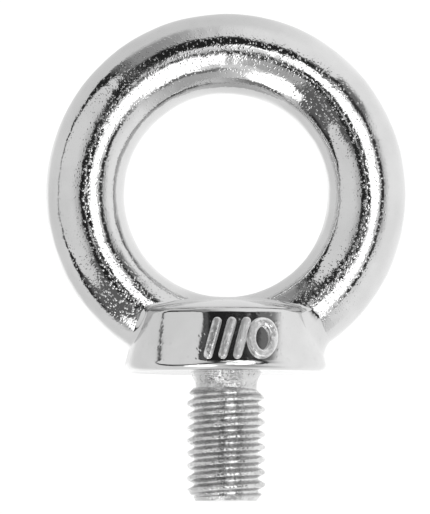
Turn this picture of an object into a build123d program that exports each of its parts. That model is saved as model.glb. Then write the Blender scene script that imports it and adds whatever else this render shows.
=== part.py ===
"""Lifting eye bolt, M8 size: a ring and a conical collar cast in one with a threaded shank.

Frame: the origin is the centre of the collar's seat, on the thread's axis. +Z points up through the
ring, the ring's hole runs along Y, and the shank points down. Millimetres.

The casting is divided at its own boundaries into solids that meet face to face: the ring, the
collar, the neck below the seat, the threaded shank and the raised mark on the collar's front (-Y).
"""

import os
from math import cos, radians, sin, sqrt, tan

from build123d import *
from build123d.topology import SkipClean

# Ring
RING_OUTER_R = 18.1
RING_HOLE_R = 10.1
RING_CENTRE_Z = 17.85
RING_FOOT_Z = 2.0  # the ring's foot is a flat inside the collar

# Collar
COLLAR_BASE_R = 10.28  # where the cone's line meets the seat plane
COLLAR_TOP_R = 8.84  # where it meets the crown's rim
COLLAR_RIM_Z = 6.26
CROWN_TOP_Z = 7.34
SEAT_EDGE_ROUND = 0.75
RIM_ROUND = 0.8

# Neck
NECK_R = 3.05
FLARE_WIDTH = 0.42  # the concave round below the seat
FLARE_HEIGHT = 0.9
FLARE_TOP_Z = -0.08  # from here a shallow cone runs out to the spigot's edge at the seat
SPIGOT_R = 4.05  # the neck's root inside the collar, wide enough for a washer to pass the thread
SPIGOT_TOP_Z = 1.2

# Thread, M8 x 1.25 right-hand
PITCH = 1.25
NOMINAL_R = 4.0
CREST_R = 3.93
ROOT_R = 3.235
THREAD_TOP_Z = -1.54
LEAD_IN = 0.9  # height of the chamfer below the neck
TIP_Z = -12.84
TIP_R = 3.05
TIP_CHAMFER = 1.15
FLANK_ANGLE = 30.0
GROOVE_AT_PLUS_X_Z = -14.34  # height of one groove's middle where it crosses the +X side
GROOVE_TURNS = 12
CREST_FACETS = 12  # the blank's wall is this many arcs round, so each crest face is a short arc

# Raised mark: three slanted bars and a small ring, standing for a thread and an eye
MARK_RELIEF = 0.45
MARK_STROKE = 0.85
MARK_MIDDLE_Z = 3.15
MARK_HEIGHT = 4.1
MARK_LEFT_X = -2.3
BAR_COUNT = 3
BAR_SPACING = 1.45
BAR_LEAN = 15.0
MARK_RING_X = 3.55
MARK_RING_HALF_WIDTH = 1.5

# Worked out from the sizes above
TUBE_R = (RING_OUTER_R - RING_HOLE_R) / 2
TUBE_CENTRE_R = RING_OUTER_R - TUBE_R


def revolved(outline):
    """The solid that a closed outline, drawn as radius and height, sweeps round the Z axis."""
    return revolve(Plane.XZ * make_face(outline), axis=Axis.Z)


def lifting_ring():
    """A torus about the Y direction, cut flat where its foot stands in the collar."""
    ring = Plane(origin=(0, 0, RING_CENTRE_Z), z_dir=(0, 1, 0)) * Torus(TUBE_CENTRE_R, TUBE_R)
    size = 2 * RING_OUTER_R
    below = Pos(0, 0, RING_FOOT_Z) * Box(size, size, size, align=(Align.CENTER, Align.CENTER, Align.MAX))
    return ring - below


def collar_blank(proud=0.0):
    """The collar before the ring passes through it, or its shape standing proud of it by a distance.

    The outline is the seat, a rounded lower edge, the cone, a rounded rim and the low crown.
    """
    base = (COLLAR_BASE_R + proud, 0)
    rim = (COLLAR_TOP_R + proud, COLLAR_RIM_Z)
    crown_mid_z = CROWN_TOP_Z - (CROWN_TOP_Z - COLLAR_RIM_Z) / 4
    seat = Line((0, 0), base)
    cone = Line(base, rim)
    crown = ThreePointArc(rim, (rim[0] / 2, crown_mid_z), (0, CROWN_TOP_Z))
    axis = Line((0, CROWN_TOP_Z), (0, 0))
    face = make_face([seat, cone, crown, axis])
    for corner, rounding in ((base, SEAT_EDGE_ROUND), (rim, RIM_ROUND)):
        face = fillet(face.vertices().sort_by_distance((*corner, 0))[0], rounding)
    return revolve(Plane.XZ * face, axis=Axis.Z)


def neck():
    """The plain neck with its flare into the seat, rooted by a spigot inside the collar."""
    foot = (NECK_R, -FLARE_HEIGHT)
    top = (NECK_R + FLARE_WIDTH, FLARE_TOP_Z)
    hollow = 1 - sqrt(0.5)
    middle = (foot[0] + hollow * FLARE_WIDTH, top[1] - hollow * (top[1] - foot[1]))
    outline = [
        Polyline((0, THREAD_TOP_Z), (NECK_R, THREAD_TOP_Z), foot),
        ThreePointArc(foot, middle, top),
        Polyline(top, (SPIGOT_R, 0), (SPIGOT_R, SPIGOT_TOP_Z)),
        Polyline((SPIGOT_R, SPIGOT_TOP_Z), (0, SPIGOT_TOP_Z), (0, THREAD_TOP_Z)),
    ]
    return revolved(outline)


def groove_half_width(radius):
    """Half the width of the 60 degree groove at a distance from the axis."""
    sharp_height = PITCH * cos(radians(FLANK_ANGLE))
    sharp_root_r = NOMINAL_R + sharp_height / 8 - sharp_height
    return (radius - sharp_root_r) * tan(radians(FLANK_ANGLE))


def groove_turns():
    """The thread's groove as one cutting solid for each turn, end to end down the helix."""
    outside_r = NOMINAL_R + 0.05
    inner, outer = groove_half_width(ROOT_R), groove_half_width(outside_r)
    section = make_face(
        Polyline(
            (ROOT_R, -inner),
            (outside_r, -outer),
            (outside_r, outer),
            (ROOT_R, inner),
            (ROOT_R, -inner),
        )
    )
    upright = Plane(origin=(0, 0, 0), x_dir=(1, 0, 0), z_dir=(0, -1, 0))
    turn = sweep(upright * section, path=Helix(PITCH, PITCH, ROOT_R), is_frenet=True)
    return [Pos(0, 0, GROOVE_AT_PLUS_X_Z + PITCH * number) * turn for number in range(GROOVE_TURNS)]


def threaded_shank():
    """A blank chamfered at both ends, less the helical groove.

    The blank is made of equal arcs that stay separate faces, so that each piece of the crest spans
    only a short stretch of the helix.
    """
    outline = Polyline(
        (0, THREAD_TOP_Z),
        (NECK_R, THREAD_TOP_Z),
        (CREST_R, THREAD_TOP_Z - LEAD_IN),
        (CREST_R, TIP_Z + TIP_CHAMFER),
        (TIP_R, TIP_Z),
        (0, TIP_Z),
        (0, THREAD_TOP_Z),
    )
    arc = 360 / CREST_FACETS
    with SkipClean():
        sector = revolve(Plane.XZ * make_face(outline), axis=Axis.Z, revolution_arc=arc)
        sectors = [sector.rotate(Axis.Z, arc * number + arc / 4) for number in range(CREST_FACETS)]
        blank = sectors[0].fuse(*sectors[1:])
        return blank.cut(*groove_turns())


def slanted_bar(middle_x):
    """One bar of the mark as a flat outline with round ends."""
    length = MARK_HEIGHT / cos(radians(BAR_LEAN))
    return Pos(middle_x, MARK_MIDDLE_Z) * Rot(0, 0, 90 - BAR_LEAN) * SlotOverall(length, MARK_STROKE)


def raised_mark(blank):
    """The bars and the small ring, standing out of the collar's cone by the relief."""
    first_x = MARK_LEFT_X + MARK_STROKE / 2 + MARK_HEIGHT / 2 * sin(radians(BAR_LEAN))
    shapes = [slanted_bar(first_x + BAR_SPACING * number) for number in range(BAR_COUNT)]
    outer = Ellipse(MARK_RING_HALF_WIDTH, MARK_HEIGHT / 2)
    inner = Ellipse(MARK_RING_HALF_WIDTH - MARK_STROKE, MARK_HEIGHT / 2 - MARK_STROKE)
    shapes.append(Pos(MARK_RING_X, MARK_MIDDLE_Z) * (outer - inner))
    proud = collar_blank(MARK_RELIEF)
    solids = []
    for shape in shapes:
        prism = extrude(Plane.XZ * shape, amount=2 * COLLAR_BASE_R)
        solids.append(((prism & proud) - blank).solid())
    return Compound(solids)


def main():
    """Builds every node and writes one STEP file for each."""
    os.makedirs("parts", exist_ok=True)
    ring = lifting_ring()
    blank = collar_blank()
    stem = neck()
    nodes = {
        "lifting_ring": ring,
        "collar": blank - ring - stem,
        "neck": stem,
        "threaded_shank": threaded_shank(),
        "raised_mark": raised_mark(blank),
    }
    for name, shape in nodes.items():
        export_step(shape, f"parts/{name}.step")


main()
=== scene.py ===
"""Looks of an M8 lifting eye bolt: cast ring, polished collar, turned neck, cut thread, raised mark.

Lengths are millimetres in the frame of the bolt: the origin is the centre of the collar's seat, +Z
runs up through the ring, the ring's hole runs along Y, and the marked front faces -Y. They become
metres where a mesh is laid down.
"""

import logging
from dataclasses import dataclass
from enum import Enum
from typing import Any, Callable, Optional

import bmesh
import bpy
import numpy as np
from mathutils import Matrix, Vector


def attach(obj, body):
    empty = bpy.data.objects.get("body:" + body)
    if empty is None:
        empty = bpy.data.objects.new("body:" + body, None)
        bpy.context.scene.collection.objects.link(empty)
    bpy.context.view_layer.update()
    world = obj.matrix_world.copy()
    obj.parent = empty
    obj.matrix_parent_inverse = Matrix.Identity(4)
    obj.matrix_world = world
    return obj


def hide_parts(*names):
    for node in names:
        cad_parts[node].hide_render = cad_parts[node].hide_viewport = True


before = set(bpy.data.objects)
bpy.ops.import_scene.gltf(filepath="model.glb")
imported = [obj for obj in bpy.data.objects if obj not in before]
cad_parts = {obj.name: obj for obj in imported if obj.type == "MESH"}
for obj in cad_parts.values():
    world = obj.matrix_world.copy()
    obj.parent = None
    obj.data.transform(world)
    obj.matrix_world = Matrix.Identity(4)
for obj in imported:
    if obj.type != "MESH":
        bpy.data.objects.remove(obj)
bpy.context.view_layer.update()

MM = 0.001
BODY = "root"
WHITE = (1.0, 1.0, 1.0, 1.0)
SAME_POINT = 2e-7  # metres: corners that are nearer than this are one corner
SLIVER = 1e-7  # metres: edges that are shorter than this are dropped
LOG = logging.getLogger("eye_bolt")

Grid = np.ndarray
Socket = bpy.types.NodeSocket


# ---------------------------------------------------------------------------------------------
# Shared shape tools
# ---------------------------------------------------------------------------------------------


def smooth_step(low: float, high: float, value: Grid) -> Grid:
    """Runs from 0 at low to 1 at high along the curve 3t^2 - 2t^3.

    Args:
        low: where the step starts.
        high: where it ends. It may lie below low, for a falling step.
        value: the numbers to step over.

    Returns:
        The step's height for every value.
    """
    t = np.clip((value - low) / (high - low), 0.0, 1.0)
    return t * t * (3.0 - 2.0 * t)


@dataclass(frozen=True)
class Waviness:
    """Slow unevenness of a cast or hand-polished surface, as a sum of plane sine waves in space.

    Each wave has a random direction, a length near the stated one and a random phase, so the sum is
    the same for every surface that passes through a point, and pieces that meet agree.
    """

    height: float
    length: float
    waves: int = 28
    seed: int = 7
    length_range: tuple[float, float] = (0.7, 1.6)

    def at(self, points: Grid) -> Grid:
        """The unevenness at each point.

        Args:
            points: positions, with x, y and z along the last axis.

        Returns:
            Heights in millimetres, about one standard deviation of the stated height.
        """
        draw = np.random.default_rng(self.seed)
        direction = draw.normal(size=(self.waves, 3))
        direction /= np.linalg.norm(direction, axis=1, keepdims=True)
        length = self.length * draw.uniform(*self.length_range, self.waves)
        phase = draw.uniform(0.0, 2.0 * np.pi, self.waves)
        total = np.zeros(points.shape[:-1])
        for way, size, start in zip(direction, length, phase):
            total += np.sin(points @ way * (2.0 * np.pi / size) + start)
        return self.height * total * np.sqrt(2.0 / self.waves)


def wrap_faces(rows: int, columns: int, rows_closed: bool) -> Grid:
    """Quads of a grid that is closed along its columns, as corner indices.

    Args:
        rows: number of grid rows.
        columns: number of points round each row.
        rows_closed: whether the last row joins the first as well.

    Returns:
        One line of four indices for each quad.
    """
    index = np.arange(rows * columns).reshape(rows, columns)
    across = np.roll(index, -1, axis=1)
    quads = np.stack([index, across, np.roll(across, -1, axis=0), np.roll(index, -1, axis=0)], axis=-1)
    kept = quads if rows_closed else quads[:-1]
    return kept.reshape(-1, 4)


def lay_mesh(name: str, grids: list[Grid], rows_closed: bool = False) -> bpy.types.Object:
    """Makes one smooth, closed object from grids whose columns close on themselves.

    Rows that shrink to a point or a line are merged, and the faces are turned outwards.

    Args:
        name: the object's name.
        grids: point grids, rows by columns by xyz, in millimetres.
        rows_closed: whether the last row of each grid joins its first.

    Returns:
        The new object, linked to the scene.
    """
    points, faces, first = [], [], 0
    for grid in grids:
        rows, columns = grid.shape[:2]
        points.append(grid.reshape(-1, 3))
        faces.append(wrap_faces(rows, columns, rows_closed) + first)
        first += rows * columns
    mesh = bpy.data.meshes.new(name)
    mesh.from_pydata(np.concatenate(points) * MM, [], np.concatenate(faces))
    work = bmesh.new()
    work.from_mesh(mesh)
    bmesh.ops.remove_doubles(work, verts=work.verts, dist=SAME_POINT)
    bmesh.ops.dissolve_degenerate(work, edges=work.edges, dist=SLIVER)
    bmesh.ops.recalc_face_normals(work, faces=work.faces)
    if work.calc_volume(signed=True) < 0:
        bmesh.ops.reverse_faces(work, faces=work.faces)
    for face in work.faces:
        face.smooth = True
    work.to_mesh(mesh)
    work.free()
    piece = bpy.data.objects.new(name, mesh)
    bpy.context.scene.collection.objects.link(piece)
    LOG.info("%s: %d faces", name, len(mesh.polygons))
    return piece


def turned(profile: Grid, columns: int) -> Grid:
    """A profile of radius and height carried round the Z axis.

    Args:
        profile: lines of radius and height.
        columns: number of steps round the axis.

    Returns:
        The point grid: x = r sin(angle), y = -r cos(angle), z = height.
    """
    angle = np.linspace(0.0, 2.0 * np.pi, columns, endpoint=False)
    radius, height = profile[:, :1], profile[:, 1:]
    return np.stack([radius * np.sin(angle), -radius * np.cos(angle), height + 0.0 * angle], axis=-1)


def rounded_corner(before: Grid, corner: Grid, after: Grid, radius: float, steps: int) -> Grid:
    """Points of the arc that rounds a corner between two straight runs.

    The arc's centre lies on the bisector, at radius / sin(half the corner's angle) from the corner.

    Args:
        before: a point on the run that comes in.
        corner: the sharp corner.
        after: a point on the run that goes out.
        radius: the arc's radius.
        steps: number of points.

    Returns:
        The arc's points from the incoming run to the outgoing one.
    """
    come = (before - corner) / np.linalg.norm(before - corner)
    go = (after - corner) / np.linalg.norm(after - corner)
    half = np.arccos(np.clip(come @ go, -1.0, 1.0)) / 2.0
    bisector = (come + go) / np.linalg.norm(come + go)
    centre = corner + bisector * radius / np.sin(half)
    start = corner + come * radius / np.tan(half) - centre
    end = corner + go * radius / np.tan(half) - centre
    sweep = np.arccos(np.clip(start @ end / radius**2, -1.0, 1.0))
    t = np.linspace(0.0, 1.0, steps)[:, None]
    return centre + (np.sin((1.0 - t) * sweep) * start + np.sin(t * sweep) * end) / np.sin(sweep)


def straight(start: Grid, end: Grid, steps: int) -> Grid:
    """Points at even steps along a straight run, start x (1 - t) + end x t, without its two ends.

    Args:
        start: where the run starts.
        end: where it ends.
        steps: number of points.

    Returns:
        The points between the two ends.
    """
    t = np.linspace(0.0, 1.0, steps + 2)[1:-1, None]
    return start * (1.0 - t) + end * t


# ---------------------------------------------------------------------------------------------
# Finishes
# ---------------------------------------------------------------------------------------------


class Nodes:
    """A node tree with short calls for the nodes that the finishes and the light use."""

    def __init__(self, tree: bpy.types.NodeTree) -> None:
        """Empties the tree and keeps it."""
        self.tree = tree
        tree.nodes.clear()

    def add(self, kind: str, inputs: Optional[dict] = None, **settings: Any) -> bpy.types.Node:
        """Adds a node, sets its properties, and links or sets its inputs.

        Args:
            kind: the node's type name, without ShaderNode.
            inputs: input name or number to a value or a socket.
            **settings: the node's own properties.

        Returns:
            The new node.
        """
        node = self.tree.nodes.new(kind if kind.startswith("Node") else f"ShaderNode{kind}")
        for key, value in settings.items():
            setattr(node, key, value)
        self.feed(node, inputs or {})
        return node

    def feed(self, node: bpy.types.Node, inputs: dict) -> None:
        """Links or sets a node's inputs.

        Args:
            node: the node.
            inputs: input name or number to a value or a socket.
        """
        for key, value in inputs.items():
            if isinstance(value, Socket):
                self.tree.links.new(value, node.inputs[key])
            else:
                node.inputs[key].default_value = value

    def math(self, operation: str, *values: float | Socket, clamp: bool = False) -> Socket:
        """The result of a Math node on up to three values or sockets."""
        node = self.add("Math", dict(enumerate(values)), operation=operation, use_clamp=clamp)
        return node.outputs[0]

    def step(self, value: Socket, low: float, high: float) -> Socket:
        """A smooth step of a value.

        Args:
            value: what is stepped over.
            low: where the step is 0.
            high: where it is 1. It may lie below low, for a falling step.

        Returns:
            The step, from 0 to 1.
        """
        span = {"Value": value, "From Min": low, "From Max": high}
        node = self.add("MapRange", span, interpolation_type="SMOOTHSTEP", clamp=True)
        return node.outputs["Result"]

    def between(self, value: Socket, low: float, high: float) -> Socket:
        """A value that runs from 0 to 1, stretched to run from low to high."""
        node = self.add("MapRange", {"Value": value, "To Min": low, "To Max": high}, clamp=True)
        return node.outputs["Result"]

    def noise(
        self, vector: Socket, scale: float | Socket, detail: float = 2.0, roughness: float = 0.5
    ) -> Socket:
        """The value of a noise texture."""
        values = {"Vector": vector, "Scale": scale, "Detail": detail, "Roughness": roughness}
        return self.add("TexNoise", values).outputs["Fac"]

    def cells(self, vector: Socket, scale: float | Socket) -> Socket:
        """Distance to the nearest of the scattered cell middles, in units of a cell."""
        return self.add("TexVoronoi", {"Vector": vector, "Scale": scale}).outputs["Distance"]

    def stretched(self, vector: Socket, factors: tuple[float, float, float]) -> Socket:
        """A vector with each part multiplied by its own factor."""
        return self.add("VectorMath", {0: vector, 1: factors}, operation="MULTIPLY").outputs[0]


def new_group(name: str, inputs: dict[str, float], outputs: list[str]) -> bpy.types.NodeTree:
    """Starts a shader node group with a Vector input, named number inputs and number outputs.

    Args:
        name: the group's name.
        inputs: input name to its starting value.
        outputs: output names.

    Returns:
        The group, with its sockets and nothing inside.
    """
    group = bpy.data.node_groups.new(name, "ShaderNodeTree")
    group.interface.new_socket("Vector", in_out="INPUT", socket_type="NodeSocketVector")
    for label, value in inputs.items():
        socket = group.interface.new_socket(label, in_out="INPUT", socket_type="NodeSocketFloat")
        socket.default_value = value
    for label in outputs:
        group.interface.new_socket(label, in_out="OUTPUT", socket_type="NodeSocketFloat")
    return group


def casting_grain() -> bpy.types.NodeTree:
    """The group for the grain of a casting: scattered blisters on uneven ground, grit and a few pits.

    The height is bumps x swell + blisters + grit - pits, and a blister is higher where the bumps are.

    Returns:
        The group. Height is in units of the bump's distance, and Pits is the pitting inside a pit.
    """
    group = new_group(
        "casting_grain",
        {"Per Metre": 3000.0, "Swell": 1.0, "Grit": 0.5, "Pitting": 0.5},
        ["Height", "Pits"],
    )
    blister_density, blister_core, blister_edge, blister_gain = 0.8, 0.1, 0.42, 2.0
    pit_density, pit_core, pit_edge = 0.45, 0.08, 0.2
    grit_density = 2.3
    net = Nodes(group)
    source = net.add("NodeGroupInput").outputs
    place, density = source["Vector"], source["Per Metre"]
    bumps = net.noise(place, density, detail=1.0, roughness=0.4)
    spots = net.cells(place, net.math("MULTIPLY", density, blister_density))
    uneven = net.math("MULTIPLY", bumps, blister_gain)
    dome = net.math("SUBTRACT", 1.0, net.step(spots, blister_core, blister_edge))
    blisters = net.math("MULTIPLY", dome, uneven)
    grit = net.noise(place, net.math("MULTIPLY", density, grit_density), detail=2.0)
    holes = net.cells(place, net.math("MULTIPLY", density, pit_density))
    hollow = net.math("SUBTRACT", 1.0, net.step(holes, pit_core, pit_edge))
    pits = net.math("MULTIPLY", hollow, source["Pitting"])
    ground = net.math("MULTIPLY_ADD", bumps, source["Swell"], blisters)
    rough = net.math("MULTIPLY_ADD", grit, source["Grit"], ground)
    height = net.math("SUBTRACT", rough, pits)
    net.add("NodeGroupOutput", {"Height": height, "Pits": pits})
    return group


def handling_wear() -> bpy.types.NodeTree:
    """The group for uneven polish: a slow cloud of duller patches crossed by fine rubbing marks.

    Returns:
        The group. Dullness runs from 0, bright, to 1, dull.
    """
    group = new_group("handling_wear", {"Per Metre": 250.0, "Rubbing": 0.3}, ["Dullness"])
    cloud_start, cloud_full = 0.35, 0.7
    rub_density, rub_flatness = 5.0, 6.0
    net = Nodes(group)
    source = net.add("NodeGroupInput").outputs
    patches = net.noise(source["Vector"], source["Per Metre"], detail=3.0, roughness=0.55)
    flattened = net.stretched(source["Vector"], (1.0, 1.0, rub_flatness))
    rubs = net.noise(flattened, net.math("MULTIPLY", source["Per Metre"], rub_density), detail=2.0)
    cloud = net.step(patches, cloud_start, cloud_full)
    dull = net.math("MULTIPLY_ADD", rubs, source["Rubbing"], cloud, clamp=True)
    net.add("NodeGroupOutput", {"Dullness": dull})
    return group


@dataclass(frozen=True)
class SteelFinish:
    """A bright stainless finish: its colour range, its polish and the grain that is left in it.

    Grooves are turned lines. The root and crest radius are a thread's, whose flanks are rougher between
    them and painted darker, as painted shade of the grooves. Between the smooth and the rough depth,
    along Y, the grain grows from faint to full, and from the foot's fade height down to the foot it grows
    again by the foot's roughness.
    """

    name: str
    slot: str
    bright: tuple[float, float, float]
    dull: tuple[float, float, float]
    polish: tuple[float, float]
    grain_size: float
    grain_height: float
    grit: float
    pitting: float
    swell: float = 1.0
    wear_size: float = 4.0
    rubbing: float = 0.3
    wear_shade: float = 0.6
    pit_shade: float = 0.5
    groove_depth: float = 0.0
    groove_spacing: float = 0.12
    groove_wander: float = 0.06
    root_radius: float = 0.0
    crest_radius: float = 0.0
    smooth_depth: float = 0.0
    rough_depth: float = 0.0
    smooth_grain: float = 0.35
    foot_height: float = 6.0
    foot_fade_height: float = 13.0
    foot_roughness: float = 2.0

    def material(self, grain: bpy.types.NodeTree, wear: bpy.types.NodeTree) -> bpy.types.Material:
        """Builds the material.

        Args:
            grain: the casting_grain group.
            wear: the handling_wear group.

        Returns:
            A metal whose colour, polish and fine relief change over the surface.
        """
        material = bpy.data.materials.new(self.name)
        material.use_nodes = True
        net = Nodes(material.node_tree)
        place = net.add("TexCoord").outputs["Object"]
        grained = net.add("Group", node_tree=grain)
        levels = {"Swell": self.swell, "Grit": self.grit, "Pitting": self.pitting}
        net.feed(grained, {"Vector": place, "Per Metre": 1.0 / (self.grain_size * MM), **levels})
        worn = net.add("Group", node_tree=wear)
        rate = 1.0 / (self.wear_size * MM)
        net.feed(worn, {"Vector": place, "Per Metre": rate, "Rubbing": self.rubbing})
        dullness = worn.outputs["Dullness"]
        # the shade darkens the colour with wear and in pits, and on a thread also as painted shade on the
        # flanks
        shade = self.shading(net, place, dullness, grained.outputs["Pits"])
        # a colour mix has its factor at input 0, its two colours at 6 and 7, and its result at output 2
        mixed = {0: shade, 6: (*self.bright, 1.0), 7: (*self.dull, 1.0)}
        colour = net.add("Mix", mixed, data_type="RGBA")
        height = self.relief(net, place, grained.outputs["Height"])
        bump = net.add("Bump", {"Height": height, "Strength": 1.0, "Distance": self.grain_height * MM})
        shader = net.add(
            "BsdfPrincipled",
            {
                "Base Color": colour.outputs[2],
                "Roughness": net.between(shade if self.crest_radius else dullness, *self.polish),
                "Metallic": 1.0,
                "Normal": bump.outputs["Normal"],
            },
        )
        net.add("OutputMaterial", {"Surface": shader.outputs["BSDF"]})
        return material

    def shading(self, net: Nodes, place: Socket, dullness: Socket, pits: Socket) -> Socket:
        """How far the colour runs towards dull: with wear, in pits and, as painted shade, halfway down a
        thread's flanks.

        With d the depth from crest to root, a flank's painted shade is 4 d (1 - d).

        Args:
            net: the material's nodes.
            place: the place on the piece.
            dullness: the wear.
            pits: the pits.

        Returns:
            The shade, from 0 for bright to 1 for dull.
        """
        in_pits = net.math("MULTIPLY", pits, self.pit_shade)
        shade = net.math("MULTIPLY_ADD", dullness, self.wear_shade, in_pits, clamp=True)
        if not self.crest_radius:
            return shade
        # painted shade: the colour darkens halfway down the thread's flanks, most at half the depth
        flat = net.stretched(place, (1.0, 1.0, 0.0))
        radius = net.add("VectorMath", {0: flat}, operation="LENGTH").outputs["Value"]
        depth = net.step(radius, self.crest_radius * MM, self.root_radius * MM)
        product = net.math("MULTIPLY", depth, net.math("SUBTRACT", 1.0, depth))
        return net.math("MAXIMUM", shade, net.math("MULTIPLY", product, 4.0))

    def relief(self, net: Nodes, place: Socket, grain: Socket) -> Socket:
        """The bump's height: the grain, fainter off the faces, and the turned lines on top of it.

        Args:
            net: the material's nodes.
            place: the place on the piece.
            grain: the grain's height.

        Returns:
            The height, in units of the grain's height.
        """
        if self.rough_depth:
            parts = net.add("SeparateXYZ", {0: place}).outputs
            depth = net.math("ABSOLUTE", parts["Y"])
            on_face = net.step(depth, self.smooth_depth * MM, self.rough_depth * MM)
            near_foot = net.step(parts["Z"], self.foot_fade_height * MM, self.foot_height * MM)
            kept = net.between(on_face, self.smooth_grain, 1.0)
            rougher = net.between(near_foot, 1.0, self.foot_roughness)
            grain = net.math("MULTIPLY", grain, net.math("MULTIPLY", kept, rougher))
        if not self.groove_depth:
            return grain
        drawn = net.stretched(place, (self.groove_wander, self.groove_wander, 1.0))
        lines = net.noise(drawn, 1.0 / (self.groove_spacing * MM), detail=2.0)
        return net.math("MULTIPLY_ADD", lines, self.groove_depth, grain)


class Finish(Enum):
    """The finishes of the bolt, one for each piece. The mark's and the collar's share a material slot."""

    CAST = SteelFinish(
        name="cast_steel",
        slot="cast_steel",
        bright=(0.68, 0.68, 0.68),
        dull=(0.6, 0.6, 0.6),
        polish=(0.05, 0.11),
        grain_size=0.22,
        grain_height=0.009,
        grit=0.1,
        pitting=0.3,
        swell=0.6,
        smooth_depth=2.5,
        rough_depth=3.9,
    )
    POLISHED = SteelFinish(
        name="polished_steel",
        slot="polished_steel",
        bright=(0.69, 0.69, 0.69),
        dull=(0.62, 0.62, 0.62),
        polish=(0.05, 0.12),
        grain_size=0.5,
        grain_height=0.004,
        grit=0.2,
        pitting=0.9,
        swell=0.6,
    )
    # the mark's colours are lighter than the collar's steel that it is cast with: painted light that
    # brightens the letters
    MARK = SteelFinish(
        name="raised_mark_steel_painted_lighter",
        slot="polished_steel",
        bright=(0.84, 0.84, 0.84),
        dull=(0.7, 0.7, 0.7),
        polish=(0.26, 0.38),
        grain_size=0.3,
        grain_height=0.02,
        grit=0.4,
        pitting=0.5,
    )
    TURNED = SteelFinish(
        name="turned_steel",
        slot="turned_steel",
        bright=(0.68, 0.68, 0.68),
        dull=(0.56, 0.56, 0.56),
        polish=(0.14, 0.3),
        grain_size=0.3,
        grain_height=0.06,
        grit=0.5,
        pitting=0.4,
        groove_depth=0.6,
    )
    # the thread's dull colour is also its painted shade halfway down the flanks, and its bright colour,
    # lighter than the other steel, is painted light on the crests and roots
    THREAD = SteelFinish(
        name="thread_steel",
        slot="thread_steel",
        bright=(0.76, 0.76, 0.76),
        dull=(0.38, 0.38, 0.38),
        polish=(0.07, 0.24),
        grain_size=0.28,
        grain_height=0.035,
        grit=0.3,
        pitting=0.3,
        groove_depth=0.5,
        groove_spacing=0.08,
        root_radius=3.2,
        crest_radius=3.85,
    )


@dataclass
class Dresser:
    """Gives each piece its finish and its body, and hides the solid that it stands for."""

    materials: dict[Finish, bpy.types.Material]

    @classmethod
    def with_all_finishes(cls) -> "Dresser":
        """A dresser that holds every finish, all built on the same two groups."""
        grain, wear = casting_grain(), handling_wear()
        return cls({finish: finish.value.material(grain, wear) for finish in Finish})

    def dress(self, piece: bpy.types.Object, finish: Finish, node: str) -> bpy.types.Object:
        """Dresses a piece.

        Args:
            piece: the new piece.
            finish: its finish, which also names the material slot.
            node: the solid that it stands for.

        Returns:
            The same piece.
        """
        piece.data.materials.clear()
        piece.data.materials.append(self.materials[finish])
        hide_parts(node)
        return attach(piece, BODY)


# ---------------------------------------------------------------------------------------------
# The bolt's parts
# ---------------------------------------------------------------------------------------------


@dataclass
class LiftingRing:
    """The cast ring: a round bar bent to a full circle about Y, its foot sunk in the collar.

    The bar is a little thicker at the top than at the sides, as the mould has left it, and it is
    pressed in by the edge inset at its outermost and innermost lines.
    """

    side_bend: float = 14.08
    top_bend: float = 14.14
    side_bar: float = 3.93
    top_bar: float = 4.04
    thickening_start: float = 0.2
    edge_inset: float = 0.0108
    centre_height: float = 17.75
    foot_height: float = 2.0
    columns: int = 650
    rows: int = 150
    swell: Waviness = Waviness(height=0.02, length=7.0, seed=3)
    unevenness: Waviness = Waviness(height=0.0035, length=1.3, seed=11)

    def bend_radius(self, bend: Grid) -> Grid:
        """Radius of the bar's middle line at an angle round the ring: side + (top - side) sin^2."""
        return self.side_bend + (self.top_bend - self.side_bend) * np.sin(bend) ** 2

    def bar_radius(self, bend: Grid) -> Grid:
        """Radius of the bar at an angle round the ring, thickest at the top."""
        near_top = smooth_step(self.thickening_start, 1.0, np.sin(bend))
        return self.side_bar + (self.top_bar - self.side_bar) * near_top

    def clearance(self, points: Grid, slimmer: float = 0.0) -> Grid:
        """Distance of each point outside the bar: its distance to the middle line less the bar's radius.

        Args:
            points: positions in millimetres.
            slimmer: how much thinner to take the bar.

        Returns:
            The distance, negative inside the bar.
        """
        across, up = points[..., 0], points[..., 2] - self.centre_height
        bend = np.arctan2(up, across)
        reach = np.hypot(across, up) - self.bend_radius(bend)
        return np.hypot(reach, points[..., 1]) - self.bar_radius(bend) + slimmer

    def surface(self) -> Grid:
        """The torus with its slow swell and fine unevenness, cut flat at the foot.

        A point is the middle line's point plus the bar's radius along the direction that turns from
        outward to sideways, and the unevenness is added to that radius.

        Returns:
            The point grid, one row for each step round the bar.
        """
        bend = np.linspace(0.0, 2.0 * np.pi, self.columns, endpoint=False)[None, :]
        turn = np.linspace(0.0, 2.0 * np.pi, self.rows, endpoint=False)[:, None]
        out = np.stack([np.cos(bend) + 0 * turn, 0 * bend + 0 * turn, np.sin(bend) + 0 * turn], axis=-1)
        middle = out * self.bend_radius(bend)[..., None] + np.array([0.0, 0.0, self.centre_height])
        way = out * np.cos(turn)[..., None] + np.array([0.0, 1.0, 0.0]) * np.sin(turn)[..., None]
        skin = middle + way * self.bar_radius(bend)[..., None]
        extra = np.minimum(self.swell.at(skin), 0.0) + self.unevenness.at(skin)
        skin = skin + way * (extra - self.edge_inset * np.abs(np.cos(turn)))[..., None]
        skin[..., 2] = np.maximum(skin[..., 2], self.foot_height)
        return skin

    def build(self) -> bpy.types.Object:
        """Makes the ring's piece."""
        return lay_mesh("ring_casting", [self.surface()], rows_closed=True)


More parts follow.
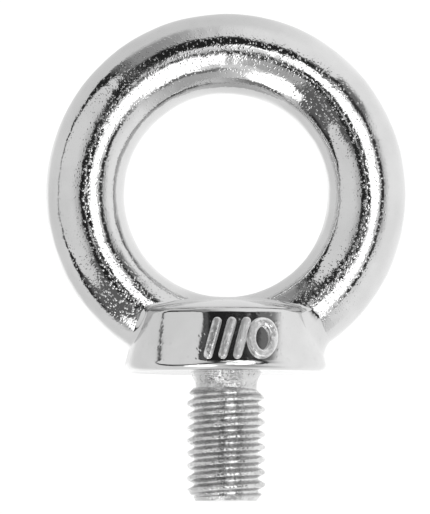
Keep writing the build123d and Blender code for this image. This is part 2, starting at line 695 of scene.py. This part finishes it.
@dataclass
class Collar:
    """The cone-shaped collar with its low crown, filleted against the ring that passes through it.

    Lift is the upward part of a surface's outward direction: -1 on the seat, near 0 on the cone and
    1 on the crown. A span of lifts says where one shape gives way to the next.
    """

    ring: LiftingRing
    base_radius: float = 10.28
    rim_radius: float = 8.84
    rim_height: float = 6.26
    crown_height: float = 7.34
    crown_bulge: float = 0.2
    seat_edge_round: float = 0.75
    rim_round: float = 0.8
    left_fillet: float = 0.55
    right_fillet: float = 1.1
    crown_fillet: float = 0.45
    cheek_half_width: float = 3.0
    front_dressing: float = 0.32
    dressed_facing: tuple[float, float] = (0.68, 0.93)
    dressed_reach: tuple[float, float] = (0.3, 0.9)
    crown_lifts: tuple[float, float] = (0.3, 0.85)
    fillet_lifts: tuple[float, float] = (-0.6, -0.05)
    uneven_lifts: tuple[float, float] = (-0.9, -0.3)
    bite: float = 0.035
    columns: int = 660
    corner_steps: int = 16
    seat_steps: int = 6
    cone_steps: int = 52
    crown_steps: int = 46
    halvings: int = 26
    unevenness: Waviness = Waviness(height=0.012, length=5.0, seed=5)

    @property
    def cone_run(self) -> Grid:
        """Direction of the cone's side, from the seat up to the rim, as radius and height."""
        run = np.array([self.rim_radius - self.base_radius, self.rim_height])
        return run / np.linalg.norm(run)

    def profile(self) -> Grid:
        """Radius and height from the middle of the seat round to the top of the crown.

        Straight runs are joined by arcs, and the crown is raised by 4 x bulge x t (1 - t), with t the
        radius over the rim's.

        Returns:
            Lines of radius and height.
        """
        middle, top = np.array([0.0, 0.0]), np.array([0.0, self.crown_height])
        base, rim = np.array([self.base_radius, 0.0]), np.array([self.rim_radius, self.rim_height])
        seat_arc = rounded_corner(middle, base, rim, self.seat_edge_round, self.corner_steps)
        rim_arc = rounded_corner(base, rim, top, self.rim_round, self.corner_steps)
        line = np.vstack(
            [
                middle,
                straight(middle, seat_arc[0], self.seat_steps),
                seat_arc,
                straight(seat_arc[-1], rim_arc[0], self.cone_steps),
                rim_arc,
                straight(rim_arc[-1], top, self.crown_steps),
                top,
            ]
        )
        t = np.clip(line[:, 0] / self.rim_radius, 0.0, 1.0)
        on_top = line[:, 1] > self.rim_height - self.rim_round
        line[:, 1] += np.where(on_top, 4.0 * self.crown_bulge * t * (1.0 - t), 0.0)
        return line

    def normals(self, profile: Grid) -> Grid:
        """Outward direction at each profile point: its tangent turned a quarter to the outside.

        Args:
            profile: lines of radius and height.

        Returns:
            Unit directions, as radius and height.
        """
        tangent = np.gradient(profile, axis=0)
        tangent[0], tangent[-1] = (1.0, 0.0), (-1.0, 0.0)
        tangent /= np.linalg.norm(tangent, axis=1, keepdims=True)
        return np.stack([tangent[:, 1], -tangent[:, 0]], axis=1)

    def dressed(self, skin: Grid) -> Grid:
        """Leans the front back a little further, as hand dressing round the mark has left it.

        The radius shrinks in proportion to the height. The shrinking fades away from the front and
        towards the axis.

        Args:
            skin: points of the plain collar.

        Returns:
            The points moved towards the axis.
        """
        radius = np.maximum(np.hypot(skin[..., 0], skin[..., 1]), 1e-6)
        facing = smooth_step(*self.dressed_facing, -skin[..., 1] / radius)
        trim = self.front_dressing * np.clip(skin[..., 2] / self.rim_height, 0.0, 1.0) * facing
        kept = 1.0 - trim / radius * smooth_step(*self.dressed_reach, radius / self.rim_radius)
        return np.stack([skin[..., 0] * kept, skin[..., 1] * kept, skin[..., 2]], axis=-1)

    def fillet_height(self, skin: Grid, way: Grid, radius: Grid) -> Grid:
        """How far each skin point rises along its outward direction to reach the fillet.

        The fillet is where (r - h)^2 + (r - d)^2 = r^2, with h the rise, d the distance to the ring
        there and r the fillet's radius. The rise is found by halving, and is r inside the ring.

        Args:
            skin: points of the plain collar.
            way: their outward directions.
            radius: the fillet's radius at each point.

        Returns:
            The rise at each point, from 0 to r.
        """
        low, high = np.zeros(skin.shape[:-1]), radius + np.zeros(skin.shape[:-1])
        for _ in range(self.halvings):
            rise = (low + high) / 2.0
            gap = self.ring.clearance(skin + way * rise[..., None], self.bite)
            inside = np.hypot(np.maximum(radius - rise, 0.0), np.maximum(radius - gap, 0.0)) > radius
            low, high = np.where(inside, rise, low), np.where(inside, high, rise)
        nothing = 1e-4
        return np.where(low < nothing, 0.0, low)

    def surface(self) -> Grid:
        """The turned profile, raised to the fillet beside the ring and faintly uneven.

        The fillet's radius runs from the left cheek's to the right cheek's across the collar, and to
        the crown's on top.

        Returns:
            The point grid, one row for each point of the profile.
        """
        profile = self.profile()
        normal = self.normals(profile)
        skin, way = turned(profile, self.columns), turned(normal, self.columns)
        skin = self.dressed(skin)
        lift = normal[:, 1:]
        rightward = smooth_step(-self.cheek_half_width, self.cheek_half_width, skin[..., 0])
        cheek = self.left_fillet + (self.right_fillet - self.left_fillet) * rightward
        radius = cheek + (self.crown_fillet - cheek) * smooth_step(*self.crown_lifts, lift)
        rise = self.fillet_height(skin, way, radius) * smooth_step(*self.fillet_lifts, lift)
        faint = self.unevenness.at(skin) * smooth_step(*self.uneven_lifts, lift)
        return skin + way * (rise + faint)[..., None]

    def build(self) -> bpy.types.Object:
        """Makes the collar's piece."""
        return lay_mesh("collar_casting", [self.surface()])

    def on_cone(self, x: Grid, z: Grid, lift: Grid) -> Grid:
        """Places flat drawing coordinates on the front of the cone.

        The depth starts as the plain cone's, sqrt(r^2 - x^2), and a few rounds bring it to the
        dressed cone's.

        Args:
            x: sideways place.
            z: height.
            lift: distance out from the cone, along its outward direction.

        Returns:
            Points in millimetres.
        """
        rounds = 4
        slope = self.cone_run
        radius = self.base_radius + z * slope[0] / slope[1]
        depth = np.sqrt(radius**2 - x**2)
        for _ in range(rounds):
            plain = np.stack([x, -depth, z], axis=-1) * (radius / np.hypot(x, depth))[..., None]
            plain[..., 2] = z
            depth = np.sqrt(np.hypot(*np.moveaxis(self.dressed(plain)[..., :2], -1, 0)) ** 2 - x**2)
        foot = np.stack([x, -depth, z], axis=-1)
        way = np.stack([x / radius * slope[1], -depth / radius * slope[1], -slope[0] + 0 * x], axis=-1)
        return foot + way * lift[..., None]


@dataclass
class Relief:
    """The cross-section of a raised stroke: a soft foot, a steep side and a rounded top."""

    stroke: float = 0.85
    height: float = 0.44
    foot_spread: float = 0.12
    foot_top: float = 0.12
    foot_depth: float = 0.05
    side_draft: float = 0.05
    sunk: float = 0.3
    steps: int = 26
    foot_steps: int = 10

    def section(self) -> tuple[Grid, Grid]:
        """Half of the cross-section from the top's middle down to the middle of its hidden underside.

        Across runs from 0 at the middle to just past half the stroke. The top is the superellipse
        across = width x sin^0.7, height = rise x cos^0.35. The foot spreads as s^1.6 while it drops
        as s^0.7, to just below the cone.

        Returns:
            The distance from the middle and the height, point by point.
        """
        half = self.stroke / 2.0
        width = half - self.side_draft
        t = np.linspace(0.0, np.pi / 2.0, self.steps)
        across = width * np.sin(t) ** 0.7
        height = self.foot_top + (self.height - self.foot_top) * np.cos(t) ** 0.35
        s = np.linspace(0.0, 1.0, self.foot_steps)[1:]
        foot_across = width + (self.foot_spread + self.side_draft) * s**1.6
        foot_height = self.foot_top - (self.foot_top + self.foot_depth) * s**0.7
        under_across = np.array([half + self.foot_spread, half * 0.5, 0.0])
        under_height = np.full(3, -self.sunk)
        return (
            np.concatenate([across, foot_across, under_across]),
            np.concatenate([height, foot_height, under_height]),
        )


@dataclass
class RaisedMark:
    """The cast pictogram on the collar's front: three slanted bars for a thread, a ring for an eye."""

    collar: Collar
    relief: Relief
    middle_height: float = 3.15
    height: float = 4.1
    left: float = -2.3
    bars: int = 3
    bar_spacing: float = 1.45
    lean: float = np.radians(15.0)
    ring_middle: float = 3.55
    ring_half_width: float = 1.5
    columns: int = 160
    hold: float = 2.2
    unevenness: Waviness = Waviness(height=0.012, length=0.9, seed=21)

    def bar(self, number: int) -> Grid:
        """One bar: the relief's section carried round a straight middle line with round ends.

        The place along the bar is hold x cos(turn) half lengths, held between -1 and 1. Where it is
        held, the direction turns with the round end.

        Args:
            number: which bar, from the left.

        Returns:
            The bar's point grid, one row for each step of the section.
        """
        across, lift = self.relief.section()
        half_run = self.height / 2.0 / np.cos(self.lean) - self.relief.stroke / 2.0
        run = np.array([np.sin(self.lean), np.cos(self.lean)])
        first = self.left + self.relief.stroke / 2.0 + self.height / 2.0 * np.sin(self.lean)
        middle = np.array([first + self.bar_spacing * number, self.middle_height])
        turn = np.linspace(0.0, 2.0 * np.pi, self.columns, endpoint=False)
        reach = np.cos(turn) * self.hold
        along = half_run * np.clip(reach, -1.0, 1.0)
        corner = np.where(np.abs(reach) < 1.0, np.sign(np.sin(turn)) * np.pi / 2.0, turn)
        way = np.stack([np.cos(corner), np.sin(corner)], axis=-1)
        side = np.array([-run[1], run[0]])
        out = way[:, :1] * run + way[:, 1:] * side
        flat = middle + along[:, None] * run + across[:, None, None] * out
        return self.raised(flat, lift)

    def eye(self) -> Grid:
        """The small ring: the whole section carried round an ellipse, closed on itself.

        Returns:
            The ring's point grid, one row for each step of the section.
        """
        across, lift = self.relief.section()
        across = np.concatenate([across, -across[-2:0:-1]])
        lift = np.concatenate([lift, lift[-2:0:-1]])
        turn = np.linspace(0.0, 2.0 * np.pi, self.columns, endpoint=False)
        half = self.relief.stroke / 2.0
        wide, tall = self.ring_half_width - half, self.height / 2.0 - half
        line = np.stack([wide * np.cos(turn), tall * np.sin(turn)], axis=-1)
        out = np.stack([tall * np.cos(turn), wide * np.sin(turn)], axis=-1)
        out /= np.linalg.norm(out, axis=-1, keepdims=True)
        flat = np.array([self.ring_middle, self.middle_height]) + line + across[:, None, None] * out
        return self.raised(flat, lift)

    def raised(self, flat: Grid, lift: Grid) -> Grid:
        """Lifts a flat grid off the cone, with the cast unevenness on what stands proud.

        Args:
            flat: sideways place and height of each point.
            lift: distance out from the cone, one for each row.

        Returns:
            Points in millimetres.
        """
        proud = 0.3
        lift = lift[:, None] + 0.0 * flat[..., 0]
        plain = self.collar.on_cone(flat[..., 0], flat[..., 1], lift)
        lift = lift + self.unevenness.at(plain) * smooth_step(0.0, proud, lift)
        return self.collar.on_cone(flat[..., 0], flat[..., 1], lift)

    def build(self) -> bpy.types.Object:
        """Makes the mark as one piece: the three bars joined to the small ring."""
        bars = [lay_mesh(f"mark_bar_{number}", [self.bar(number)]) for number in range(self.bars)]
        eye = lay_mesh("raised_pictogram", [self.eye()], rows_closed=True)
        with bpy.context.temp_override(active_object=eye, selected_editable_objects=[eye, *bars]):
            bpy.ops.object.join()
        return eye


@dataclass
class Neck:
    """The plain turned neck, flared into the seat above and running into the thread below."""

    radius: float = 3.05
    flare_width: float = 0.5
    flare_height: float = 1.15
    flare_top: float = -0.02
    flare_bend: float = 1.3
    flare_steps: int = 20
    root_radius: float = 3.3
    root_top: float = 1.0
    root_bottom: float = 0.25
    bottom: float = -2.1
    columns: int = 256
    unevenness: Waviness = Waviness(height=0.012, length=1.4, seed=17)

    def surface(self) -> Grid:
        """The turned profile: a root inside the collar, a hollow flare and the straight neck.

        The flare stands out by its width x (1 - drop / height)^bend.

        Returns:
            The point grid, one row for each point of the profile.
        """
        t = np.linspace(0.0, 1.0, self.flare_steps)
        out = self.radius + self.flare_width * (1.0 - t) ** self.flare_bend
        flare = np.stack([out, self.flare_top - self.flare_height * t], axis=1)
        start = np.array([self.radius + self.flare_width, self.root_bottom])
        end = np.array([self.radius, self.bottom])
        line = np.vstack(
            [
                (0.0, self.root_top),
                (self.root_radius, self.root_top),
                start,
                straight(start, flare[0], 3),
                flare,
                straight(flare[-1], end, 16),
                end,
                (0.0, self.bottom),
            ]
        )
        skin = turned(line, self.columns)
        way = np.stack([skin[..., 0], skin[..., 1], 0.0 * skin[..., 2]], axis=-1)
        way /= np.maximum(np.linalg.norm(way, axis=-1, keepdims=True), 1e-9)
        off_axis = smooth_step(0.2, 1.0, line[:, :1])
        return skin + way * (self.unevenness.at(skin) * off_axis)[..., None]

    def build(self) -> bpy.types.Object:
        """Makes the neck's piece."""
        return lay_mesh("turned_neck", [self.surface()])


@dataclass
class ThreadedShank:
    """The M8 x 1.25 right-hand thread, led in below the neck and chamfered at the tip."""

    pitch: float = 1.25
    crest_radius: float = 3.9
    root_radius: float = 3.235
    neck_radius: float = 3.08
    top: float = -1.54
    lead_in: float = 0.9
    lead_in_tilt: float = 0.18
    tip: float = -12.84
    tip_radius: float = 3.05
    tip_chamfer: float = 1.15
    crest_height_at_back: float = -9.34
    flank_run: float = 0.35
    crest_flat: float = 0.29
    edge_softness: float = 0.08
    blend: float = 0.05
    tip_round: float = 0.06
    root_burr: float = 0.3
    columns: int = 288
    rows: int = 330
    burrs: Waviness = Waviness(height=0.016, length=0.5, seed=31)

    def thread(self, turns: Grid) -> Grid:
        """The thread's height from 0 at the root to 1 at the crest, against turns from a crest.

        It is a trapezoid wave: flat at the crest, down a straight flank, flat at the root. The
        corners are softened by averaging the wave over a short stretch.

        Args:
            turns: the number of turns from a crest.

        Returns:
            The height at each place.
        """
        total = np.zeros_like(turns)
        shifts = np.linspace(-1.0, 1.0, 13) * self.edge_softness / self.pitch
        for shift in shifts:
            away = np.abs((turns + shift + 0.5) % 1.0 - 0.5) * self.pitch
            total += 1.0 - np.clip((away - self.crest_flat / 2.0) / self.flank_run, 0.0, 1.0)
        return total / len(shifts)

    def envelope(self, height: Grid, angle: Grid) -> Grid:
        """The blank's radius: the lead-in, lower on +X than on -X, the straight part and the chamfer.

        Args:
            height: places along the axis.
            angle: places round it, from +X towards +Y.

        Returns:
            The smallest of the lead-in's radius, the chamfer's and the crest's.
        """
        start = self.top - self.lead_in_tilt * np.cos(angle)
        lead_slope = (self.crest_radius - self.neck_radius) / self.lead_in
        tip_slope = (self.crest_radius - self.tip_radius) / self.tip_chamfer
        lead = self.neck_radius + (start - height) * lead_slope
        end = self.tip_radius + (height - self.tip) * tip_slope
        return np.minimum(np.minimum(lead, end), self.crest_radius)

    def surface(self) -> Grid:
        """Radius as a function of angle and height, closed by a flat disc at each end.

        The radius is the smaller of the blank's and the thread's, softened where they meet. A
        right-hand thread rises by one pitch for each turn from +X towards +Y. The burrs take away
        from the crests and less from the roots.

        Returns:
            The point grid, one row for each height.
        """
        height = np.linspace(self.top, self.tip + self.tip_round, self.rows)[:, None]
        angle = np.linspace(0.0, 2.0 * np.pi, self.columns, endpoint=False)[None, :]
        turns = (height - self.crest_height_at_back) / self.pitch - (angle - np.pi) / (2.0 * np.pi)
        thread = self.thread(turns)
        cut = self.root_radius + (self.crest_radius - self.root_radius) * thread
        blank = self.envelope(height, angle)
        mixed = np.clip(0.5 + (blank - cut) / (2.0 * self.blend), 0.0, 1.0)
        radius = blank + (cut - blank) * mixed - self.blend * mixed * (1.0 - mixed)
        taken = np.minimum(self.burrs.at(self.placed(radius, height, angle)), 0.0)
        radius = radius + taken * (self.root_burr + (1.0 - self.root_burr) * thread)
        return self.close_ends(radius, height, angle)

    @staticmethod
    def placed(radius: Grid, height: Grid, angle: Grid) -> Grid:
        """Points at a radius, a height and an angle from +X towards +Y."""
        return np.stack([radius * np.cos(angle), radius * np.sin(angle), height + 0.0 * angle], axis=-1)

    def close_ends(self, radius: Grid, height: Grid, angle: Grid) -> Grid:
        """Adds the rows that close the top and round the tip's edge over into its flat end.

        Args:
            radius: the wall's radius, row by row.
            height: the wall's heights, one for each row.
            angle: the angles, one for each column.

        Returns:
            The whole shank's point grid.
        """
        top_shares, tip_shares = (0.0, 0.5), (0.8, 0.55, 0.3, 0.0)
        ease = np.linspace(0.0, np.pi / 2.0, 5)[1:, None]
        top = radius[:1] * np.array(top_shares)[:, None]
        rounding = radius[-1:] - self.tip_round * (1.0 - np.cos(ease))
        tip = radius[-1:] * np.array(tip_shares)[:, None]
        heights = [
            np.full((len(top_shares), 1), self.top),
            height,
            self.tip + self.tip_round * (1.0 - np.sin(ease)),
            np.full((len(tip_shares), 1), self.tip),
        ]
        return self.placed(np.vstack([top, radius, rounding, tip]), np.vstack(heights), angle)

    def build(self) -> bpy.types.Object:
        """Makes the shank's piece."""
        return lay_mesh("cut_thread", [self.surface()])


# ---------------------------------------------------------------------------------------------
# Stage, light and camera
# ---------------------------------------------------------------------------------------------


@dataclass(frozen=True)
class Panel:
    """A soft-edged patch of the studio that the metal mirrors.

    Round is the place round the front axis in degrees, 0 to the right and 90 up. Tilt is the angle
    away from the front axis.
    """

    round_middle: float
    round_half: float
    tilt_from: float
    tilt_to: float
    brightness: float
    round_soft: float = 8.0
    tilt_soft: float = 2.0
    oval: bool = False


@dataclass
class Studio:
    """A white studio with a few panels and gaps round the camera, a pale floor and one camera."""

    panels: tuple[Panel, ...]
    base: float = 0.92
    axis_rise: float = 2.4
    background: float = 1.05
    floor_height: float = -60.0
    floor_half: float = 900.0
    floor_shade: float = 0.92
    floor_glow: float = 0.2
    distance: float = 900.0
    camera_height: float = -27.0
    aim_x: float = -1.11
    aim_height: float = 11.55
    frame_height: float = 51.4

    def floor(self) -> bpy.types.Object:
        """Makes the pale floor under the tip, which the metal's mirror leaves to the panels.

        Returns:
            The floor, marked as part of the stage.
        """
        half, z = self.floor_half * MM, self.floor_height * MM
        corners = [(-half, -half, z), (half, -half, z), (half, half, z), (-half, half, z)]
        mesh = bpy.data.meshes.new("floor")
        mesh.from_pydata(corners, [], [(0, 1, 2, 3)])
        floor = bpy.data.objects.new("floor", mesh)
        bpy.context.scene.collection.objects.link(floor)
        material = bpy.data.materials.new("pale_floor")
        material.use_nodes = True
        shader = material.node_tree.nodes["Principled BSDF"]
        shader.inputs["Base Color"].default_value = (self.floor_shade,) * 3 + (1.0,)
        shader.inputs["Roughness"].default_value = 0.9
        shader.inputs["Emission Color"].default_value = WHITE
        shader.inputs["Emission Strength"].default_value = self.floor_glow
        mesh.materials.append(material)
        floor.visible_glossy = False
        return floor

    def light(self) -> None:
        """Paints the surroundings: white to the eye, and panels over a pale base to the mirror."""
        world = bpy.data.worlds.new("studio")
        bpy.context.scene.world = world
        world.use_nodes = True
        net = Nodes(world.node_tree)
        way = net.add("TexCoord").outputs["Generated"]
        turn = {"Vector": way, "Angle": np.radians(self.axis_rise)}
        level = net.add("VectorRotate", turn, rotation_type="X_AXIS")
        parts = net.add("SeparateXYZ", {0: level.outputs[0]}).outputs
        front = net.math("MULTIPLY", parts["Y"], -1.0)
        tilt = net.math("DEGREES", net.math("ARCCOSINE", front))
        around = net.math("DEGREES", net.math("ARCTAN2", parts["Z"], parts["X"]))
        glow = self.base
        for panel in self.panels:
            mask = self.panel_mask(net, panel, around, tilt)
            over = net.math("MULTIPLY", mask, panel.brightness)
            rest = net.math("MULTIPLY", net.math("SUBTRACT", 1.0, mask), glow)
            glow = net.math("ADD", over, rest)
        mirror = net.add("Background", {"Strength": glow})
        plain = net.add("Background", {"Strength": self.background})
        seen = net.add("LightPath").outputs["Is Camera Ray"]
        mix = net.add("MixShader", {0: seen, 1: mirror.outputs[0], 2: plain.outputs[0]})
        for node in (mirror, plain):
            node.inputs["Color"].default_value = WHITE
        net.add("OutputWorld", {"Surface": mix.outputs[0]})

    @staticmethod
    def panel_mask(net: Nodes, panel: Panel, around: Socket, tilt: Socket) -> Socket:
        """1 inside a panel and 0 outside, with its own soft edges.

        Args:
            net: the world's nodes.
            panel: the panel.
            around: the place round the front axis, in degrees.
            tilt: the angle away from the front axis, in degrees.

        Returns:
            The mask: an oval's distance from its middle, or the product of both spans, stepped.
        """
        # the angle from the panel's middle, brought between -180 and 180 degrees
        shifted = net.math("ADD", net.math("SUBTRACT", around, panel.round_middle), 540.0)
        signed = net.math("SUBTRACT", net.math("FLOORED_MODULO", shifted, 360.0), 180.0)
        away = net.math("ABSOLUTE", signed)
        middle, half = (panel.tilt_from + panel.tilt_to) / 2.0, (panel.tilt_to - panel.tilt_from) / 2.0
        off = net.math("ABSOLUTE", net.math("SUBTRACT", tilt, middle))
        soft = panel.tilt_soft / 2.0
        if panel.oval:
            across = net.math("POWER", net.math("DIVIDE", away, panel.round_half), 2.0)
            along = net.math("POWER", net.math("DIVIDE", off, half), 2.0)
            distance = net.math("MULTIPLY", net.math("SQRT", net.math("ADD", across, along)), half)
            return net.step(distance, half + soft, half - soft)
        inside = net.step(off, half + soft, half - soft)
        if panel.round_half >= 180.0:
            return inside
        soft = panel.round_soft / 2.0
        beside = net.step(away, panel.round_half + soft, panel.round_half - soft)
        return net.math("MULTIPLY", inside, beside)

    def camera(self) -> None:
        """Makes the camera: far off in front, just above the floor, framing the whole bolt."""
        data = bpy.data.cameras.new("camera")
        camera = bpy.data.objects.new("camera", data)
        bpy.context.scene.collection.objects.link(camera)
        place = Vector((self.aim_x, -self.distance, self.camera_height)) * MM
        aim = Vector((self.aim_x, 0.0, self.aim_height)) * MM
        camera.location = place
        camera.rotation_euler = (aim - place).to_track_quat("-Z", "Y").to_euler()
        reach = (aim - place).length
        data.lens = data.sensor_width * reach / (self.frame_height * MM)
        data.clip_start, data.clip_end = 0.01, 10.0
        bpy.context.scene.camera = camera

    def build(self) -> None:
        """Makes the stage, the light and the camera."""
        self.floor()
        self.light()
        self.camera()
        bpy.context.scene.view_settings.view_transform = "Standard"


BLACK, PALE, BRIGHT = 0.02, 0.9, 2.2

# Each panel covers the ones before it.
STUDIO_PANELS = (
    # the broad levels of the walls, from the sides round to the back
    Panel(5.0, 75.0, 60.0, 181.0, 1.1, round_soft=70.0, tilt_soft=30.0),
    Panel(-10.0, 70.0, 120.0, 181.0, 1.15, round_soft=80.0, tilt_soft=40.0),
    Panel(-20.0, 80.0, 158.0, 181.0, 1.22, round_soft=50.0, tilt_soft=20.0),
    Panel(185.0, 62.0, 140.0, 181.0, 1.3, round_soft=40.0, tilt_soft=34.0),
    Panel(115.0, 40.0, 50.0, 181.0, 0.82, round_soft=50.0, tilt_soft=20.0),
    Panel(185.0, 40.0, 100.0, 140.0, 0.88, round_soft=40.0, tilt_soft=20.0),
    # shaded and lit patches below and above
    Panel(287.0, 20.0, 48.0, 98.0, 0.52, round_soft=34.0, tilt_soft=8.0),
    Panel(120.0, 18.0, 36.0, 84.0, 0.38, round_soft=24.0, tilt_soft=18.0),
    Panel(68.0, 18.0, 44.0, 84.0, 1.06, round_soft=24.0, tilt_soft=26.0),
    # the dark opening round the camera, and the dark walls above it and to its left
    Panel(0.0, 180.0, -5.0, 12.0, BLACK),
    Panel(87.0, 42.0, 8.0, 45.0, BLACK, round_soft=12.0, tilt_soft=8.0),
    Panel(178.0, 50.0, 5.0, 87.0, BLACK, round_soft=14.0, tilt_soft=3.0),
    Panel(224.0, 16.0, 12.0, 78.0, 0.15, round_soft=12.0, tilt_soft=12.0),
    Panel(174.0, 12.0, 80.0, 87.5, 0.3, round_soft=12.0, tilt_soft=2.0),
    # the large pale screen on the left, with its grey and black inner edge
    Panel(174.0, 41.0, 16.0, 84.6, PALE, tilt_soft=2.0, oval=True),
    Panel(178.0, 26.0, 14.0, 26.0, 0.55, round_soft=14.0, tilt_soft=28.0),
    Panel(178.0, 50.0, 5.0, 15.5, BLACK, round_soft=14.0, tilt_soft=3.0),
    # the grey band on the right, with its dark edges
    Panel(12.0, 26.0, 44.0, 58.0, 0.45, round_soft=12.0, tilt_soft=24.0),
    Panel(38.0, 9.0, 44.0, 68.0, 0.2, round_soft=7.0, tilt_soft=18.0),
    Panel(6.0, 48.0, 41.0, 51.0, 0.04, round_soft=10.0, tilt_soft=3.0),
    # the row of lamps near the camera, from the lower right up to the top
    Panel(-22.0, 38.0, 17.5, 32.5, BRIGHT, round_soft=12.0, tilt_soft=6.0),
    Panel(20.0, 22.0, 13.5, 34.0, BRIGHT, round_soft=8.0, tilt_soft=4.0),
    Panel(45.0, 18.0, 11.0, 29.5, BRIGHT, round_soft=8.0, tilt_soft=4.0),
    Panel(69.0, 20.0, 9.5, 22.0, BRIGHT, round_soft=12.0, tilt_soft=4.0),
    Panel(90.0, 25.0, 6.0, 17.5, 1.0, round_soft=16.0),
    # light that falls into the opening from above and from below
    Panel(116.0, 27.0, -5.0, 10.0, 0.78, round_soft=18.0, tilt_soft=4.0),
    Panel(298.0, 28.0, -5.0, 9.0, 0.85, round_soft=10.0, tilt_soft=3.0),
    # the lamps below the camera, with a dark gap past them, and a dim and a bright lamp on their left
    Panel(288.0, 18.0, 46.0, 55.0, 0.2, round_soft=16.0, tilt_soft=4.0),
    Panel(298.0, 28.0, 7.0, 36.0, BRIGHT, round_soft=8.0),
    Panel(296.0, 12.0, 32.0, 46.0, BRIGHT, round_soft=6.0),
    Panel(250.0, 14.0, 10.0, 38.0, 0.55, round_soft=12.0, tilt_soft=8.0),
    Panel(245.0, 15.0, 42.0, 84.0, BRIGHT, tilt_soft=6.0, oval=True),
)


def main() -> None:
    """Builds the bolt and its stage in order."""
    logging.basicConfig(level=logging.INFO, format="%(name)s %(message)s")
    dresser = Dresser.with_all_finishes()
    ring = LiftingRing()
    collar = Collar(ring)
    mark = RaisedMark(collar, Relief())
    makers: list[tuple[Callable[[], bpy.types.Object], Finish, str]] = [
        (ring.build, Finish.CAST, "lifting_ring"),
        (collar.build, Finish.POLISHED, "collar"),
        (mark.build, Finish.MARK, "raised_mark"),
        (Neck().build, Finish.TURNED, "neck"),
        (ThreadedShank().build, Finish.THREAD, "threaded_shank"),
    ]
    for make, finish, node in makers:
        piece = dresser.dress(make(), finish, node)
        LOG.info("%s stands for %s in %s", piece.name, node, finish.value.slot)
    Studio(STUDIO_PANELS).build()


if __name__ == "__main__":
    main()
